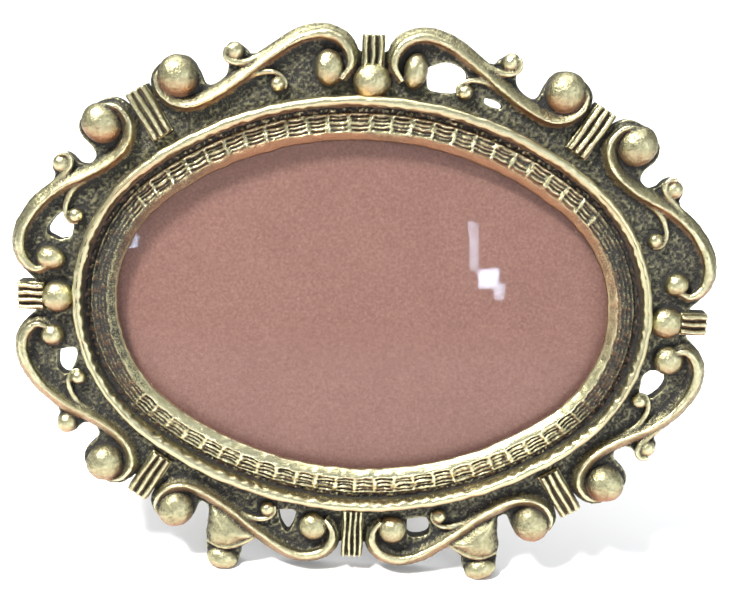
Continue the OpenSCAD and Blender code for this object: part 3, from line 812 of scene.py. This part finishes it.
for sx in (-1, 1):
    for sy in (-1, 1):
        name = "tab_" + ("bottom" if sy < 0 else "top") + ("_left" if sx < 0 else "_right")
        make_tab(name, side, (sx, sy), side_length, (2.4, 14.7), 5.6, 3)
make_tab("tab_top", side, (1, 1), 0, (6.2, 13.5), 5.2, 3)
make_tab("tab_bottom", side, (1, -1), 0, (0.6, 13.2), 5.4, 4)
make_tab("tab_left", end, (-1, 1), 0, (7.2, 13.5), 6.8, 4)
make_tab("tab_right", end, (1, 1), 0, (7.2, 13.5), 5.4, 3)

# %% [markdown]
# ## The glass
# The glass is a shallow dome. A sheet is wrapped from its middle over the rim and
# back underneath, which keeps it closed and very smooth. It is made as thin glass:
# mostly clear, with a mirror-like reflection that grows towards its edges.

# %% The domed glass
glass_edge_z, glass_t, dome_rise, glass_lap = 2.8, 1.8, 3.0, 4.15


def glass_place(u, v):
    turn = u * 4
    over = v <= 0.5
    reach = np.where(over, v * 2, (1 - v) * 2)
    x, y = oval_at(turn, np.full_like(turn, glass_lap))
    x, y = x * reach, y * reach
    z = glass_edge_z + dome_rise * (1 - reach ** 2) + np.where(over, glass_t, 0)
    z = np.where(reach > 0.999, glass_edge_z + glass_t, z)
    z = np.where((reach > 0.999) & ~over, glass_edge_z, z)
    return np.stack([x, y, z], 1)


glass_piece = wrapped_sheet("glass_dome", 192, 64, glass_place)
glass, nodes, links = new_material("clear_glass")
nodes.remove(nodes["Principled BSDF"])
clear = nodes.new("ShaderNodeBsdfTransparent")
clear.inputs["Color"].default_value = (0.97, 0.985, 0.98, 1)
gloss = nodes.new("ShaderNodeBsdfGlossy")
gloss.inputs["Roughness"].default_value = 0.03
gloss.inputs["Color"].default_value = (0.10, 0.11, 0.125, 1)
facing = nodes.new("ShaderNodeLayerWeight").outputs["Facing"]
edge_gloss = maths(nodes, links, "MULTIPLY", maths(nodes, links, "POWER", facing, 5.0), 0.7)
blend = nodes.new("ShaderNodeMixShader")
links.new(maths(nodes, links, "ADD", edge_gloss, 0.04), blend.inputs["Fac"])
links.new(clear.outputs["BSDF"], blend.inputs[1])
links.new(gloss.outputs["BSDF"], blend.inputs[2])
links.new(blend.outputs["Shader"], nodes["Material Output"].inputs["Surface"])
finish_piece(glass_piece, glass, "glass", "domed_glass")

# %% [markdown]
# ## The covered board
# Behind the glass is a board covered in mauve-brown leatherette. It is finely
# mottled, with a few dark and light specks.

# %% Leatherette
leatherette, nodes, links = new_material("mauve_leatherette")
shader = nodes["Principled BSDF"]
coords = nodes.new("ShaderNodeTexCoord").outputs["Object"]
mottle = add_noise(nodes, links, coords, 1500, 4, 0.65)
clouds = add_noise(nodes, links, coords, 45, 2)
base = add_ramp(nodes, [(0.30, (0.175, 0.074, 0.060)), (0.5, (0.238, 0.108, 0.087)),
                        (0.72, (0.315, 0.158, 0.130))])
links.new(maths(nodes, links, "ADD", maths(nodes, links, "MULTIPLY", mottle, 0.85),
                maths(nodes, links, "MULTIPLY", clouds, 0.15)), base.inputs["Fac"])
cells = nodes.new("ShaderNodeTexVoronoi")
cells.inputs["Scale"].default_value = 900
links.new(coords, cells.inputs["Vector"])
speck = add_ramp(nodes, [(0.0, (1, 1, 1)), (0.10, (0, 0, 0))])
links.new(cells.outputs["Distance"], speck.inputs["Fac"])
rare = add_ramp(nodes, [(0.0, (0, 0, 0)), (0.86, (0, 0, 0)), (0.90, (1, 1, 1))])
tone = nodes.new("ShaderNodeSeparateColor")
links.new(cells.outputs["Color"], tone.inputs["Color"])
links.new(tone.outputs["Red"], rare.inputs["Fac"])
light_or_dark = add_ramp(nodes, [(0.45, (0.10, 0.05, 0.05)), (0.55, (0.80, 0.62, 0.50))])
links.new(tone.outputs["Green"], light_or_dark.inputs["Fac"])
spots = maths(nodes, links, "MULTIPLY", speck.outputs["Color"], rare.outputs["Color"])
links.new(mixed(nodes, links, maths(nodes, links, "MULTIPLY", spots, 0.8), base.outputs["Color"],
                light_or_dark.outputs["Color"]), shader.inputs["Base Color"])
shader.inputs["Roughness"].default_value = 0.62
bump = nodes.new("ShaderNodeBump")
bump.inputs["Strength"].default_value = 0.5
bump.inputs["Distance"].default_value = 0.00015
links.new(mottle, bump.inputs["Height"])
links.new(bump.outputs["Normal"], shader.inputs["Normal"])
print("leatherette made")

# %% [markdown]
# ## The back
# The back is plain work: rolled brass sheet gone brown, a stamped strut and buttons,
# and steel screws. Sheet brass shows fine rolling lines and blotchy tarnish. The
# boards inside are grey pasteboard.


# %% Sheet brass, steel and pasteboard
def make_sheet_metal(name, dark, light, rough, along):
    material, nodes, links = new_material(name)
    shader = nodes["Principled BSDF"]
    coords = nodes.new("ShaderNodeTexCoord").outputs["Object"]
    stretch = nodes.new("ShaderNodeMapping")
    stretch.inputs["Scale"].default_value = along
    links.new(coords, stretch.inputs["Vector"])
    lines = add_noise(nodes, links, stretch.outputs["Vector"], 900, 3)
    blotch = add_noise(nodes, links, coords, 120, 5, 0.6)
    both = maths(nodes, links, "ADD", maths(nodes, links, "MULTIPLY", lines, 0.3),
                 maths(nodes, links, "MULTIPLY", blotch, 0.7))
    colour = add_ramp(nodes, [(0.36, dark), (0.62, light)])
    links.new(both, colour.inputs["Fac"])
    links.new(colour.outputs["Color"], shader.inputs["Base Color"])
    rough_ramp = add_ramp(nodes, [(0.35, (min(rough + 0.25, 1),) * 3), (0.65, (rough,) * 3)])
    links.new(both, rough_ramp.inputs["Fac"])
    links.new(rough_ramp.outputs["Color"], shader.inputs["Roughness"])
    shader.inputs["Metallic"].default_value = 1.0
    bump = nodes.new("ShaderNodeBump")
    bump.inputs["Strength"].default_value = 0.35
    bump.inputs["Distance"].default_value = 0.0001
    links.new(lines, bump.inputs["Height"])
    links.new(bump.outputs["Normal"], shader.inputs["Normal"])
    return material


def make_board(name, dark, light):
    material, nodes, links = new_material(name)
    shader = nodes["Principled BSDF"]
    coords = nodes.new("ShaderNodeTexCoord").outputs["Object"]
    fibre = add_noise(nodes, links, coords, 1400, 4, 0.6)
    colour = add_ramp(nodes, [(0.35, dark), (0.65, light)])
    links.new(fibre, colour.inputs["Fac"])
    links.new(colour.outputs["Color"], shader.inputs["Base Color"])
    shader.inputs["Roughness"].default_value = 0.9
    return material


plate_brass = make_sheet_metal("tarnished_plate_brass", (0.13, 0.10, 0.055), (0.29, 0.225, 0.115),
                               0.40, (0.08, 1, 1))
strut_brass = make_sheet_metal("strut_brass", (0.20, 0.15, 0.07), (0.55, 0.43, 0.20),
                               0.30, (1, 1, 0.08))
screw_steel = make_sheet_metal("dull_steel", (0.16, 0.15, 0.14), (0.42, 0.41, 0.39),
                               0.34, (1, 1, 1))
grey_board = make_board("grey_pasteboard", (0.22, 0.18, 0.13), (0.42, 0.35, 0.26))
brown_card = make_board("brown_card", (0.26, 0.19, 0.11), (0.46, 0.35, 0.22))
print("sheet metals and boards made")

# %% Give the CAD pieces their finishes
finishes = {
    "board_cover": leatherette, "board_core": grey_board, "filler_card": brown_card,
    "back_plate": plate_brass, "hinge_leaf": strut_brass, "strut_leg": strut_brass,
    "leaf_rivet_left": strut_brass, "leaf_rivet_right": strut_brass, "hinge_pin": screw_steel}
for node, obj in frame["nodes"].items():
    material = finishes.get(node)
    if node.startswith("turn_button"):
        material = strut_brass
    if node.startswith("button_screw"):
        material = screw_steel
    if material:
        obj.data.materials.clear()
        obj.data.materials.append(material)
        print(node, "gets", material.name)

# %% [markdown]
# ## The studio
# The frame stands on a pale floor in soft light. A smaller, stronger light hangs above
# and to the left, so the rim shades the upper left of the board. The smallest lamps
# are there only to be mirrored in the glass.

# %% Floor and lights
bpy.ops.object.select_all(action="DESELECT")
bpy.ops.mesh.primitive_plane_add(size=6, location=(0, 0, -0.0002))
floor = bpy.context.object
floor.name = "studio_floor"
floor_white, nodes, links = new_material("studio_white")
nodes["Principled BSDF"].inputs["Base Color"].default_value = (0.93, 0.93, 0.93, 1)
nodes["Principled BSDF"].inputs["Roughness"].default_value = 0.9
floor.data.materials.append(floor_white)

world = bpy.data.worlds.new("studio")
bpy.context.scene.world = world
world.use_nodes = True
world.node_tree.nodes["Background"].inputs["Color"].default_value = (1, 1, 1, 1)
world.node_tree.nodes["Background"].inputs["Strength"].default_value = 0.36


def soft_light(name, at, size, power, colour):
    bpy.ops.object.light_add(type="AREA", location=at)
    light = bpy.context.object
    light.name = name
    light.rotation_euler = (Vector((0, 0, 0.06)) - Vector(at)).to_track_quat("-Z", "Y").to_euler()
    light.data.shape = "RECTANGLE"
    light.data.size, light.data.size_y = size
    light.data.energy = power
    light.data.color = colour
    return light


soft_light("key_light", (-0.40, -0.27, 0.86), (0.16, 0.16), 16.5, (1, 0.985, 0.95))
soft_light("fill_light", (0.6, -0.5, 0.35), (0.5, 0.4), 2.4, (0.92, 0.96, 1))
soft_light("top_light", (0.0, 0.35, 1.0), (0.9, 0.9), 9, (1, 1, 1))


def glint(name, at, size, power):
    """A small lamp seen only as a reflection in the domed glass."""
    light = soft_light(name, stand @ Vector(at), size, power, (0.80, 0.88, 1))
    light.rotation_euler = (stand @ Vector((29, 11, 6)) - light.location).to_track_quat(
        "-Z", "Y").to_euler()


glint("window_streak", (128, -22, 590), (0.010, 0.080), 0.11)
glint("window_pane", (150, -77, 590), (0.024, 0.032), 0.30)
glint("window_tail", (165, -100, 590), (0.012, 0.026), 0.05)
glint("side_spot", (-274, -42, 560), (0.014, 0.026), 0.09)
print("lights hung")

# %% [markdown]
# The camera looks down at the face from close by, a little above square on. It is
# rolled very slightly, so the frame seems to lean to one side.

# %% Camera
up_face = Vector((0, math.sin(lean), math.cos(lean)))
above = math.radians(13)
towards = face_normal * math.cos(above) + up_face * math.sin(above)
camera_reach, camera_roll = 0.27, math.radians(2.5)
image_width, shift_right, shift_up = 731, 3.2, 5.0
bpy.ops.object.camera_add(location=face_origin + towards * camera_reach)
camera = bpy.context.object
bpy.context.scene.camera = camera
camera.rotation_mode = "QUATERNION"
camera.rotation_quaternion = (-towards).to_track_quat("-Z", "Y")
camera.rotation_quaternion = camera.rotation_quaternion @ Matrix.Rotation(
    camera_roll, 4, "Z").to_quaternion()
camera.data.lens = 54.2
camera.data.sensor_width = 36
camera.data.shift_x = shift_right / image_width
camera.data.shift_y = shift_up / image_width
camera.data.clip_start = 0.01
bpy.context.scene.view_settings.view_transform = "Standard"
print("camera at", [round(x, 3) for x in camera.location])

# %% Update the scene
bpy.context.view_layer.update()
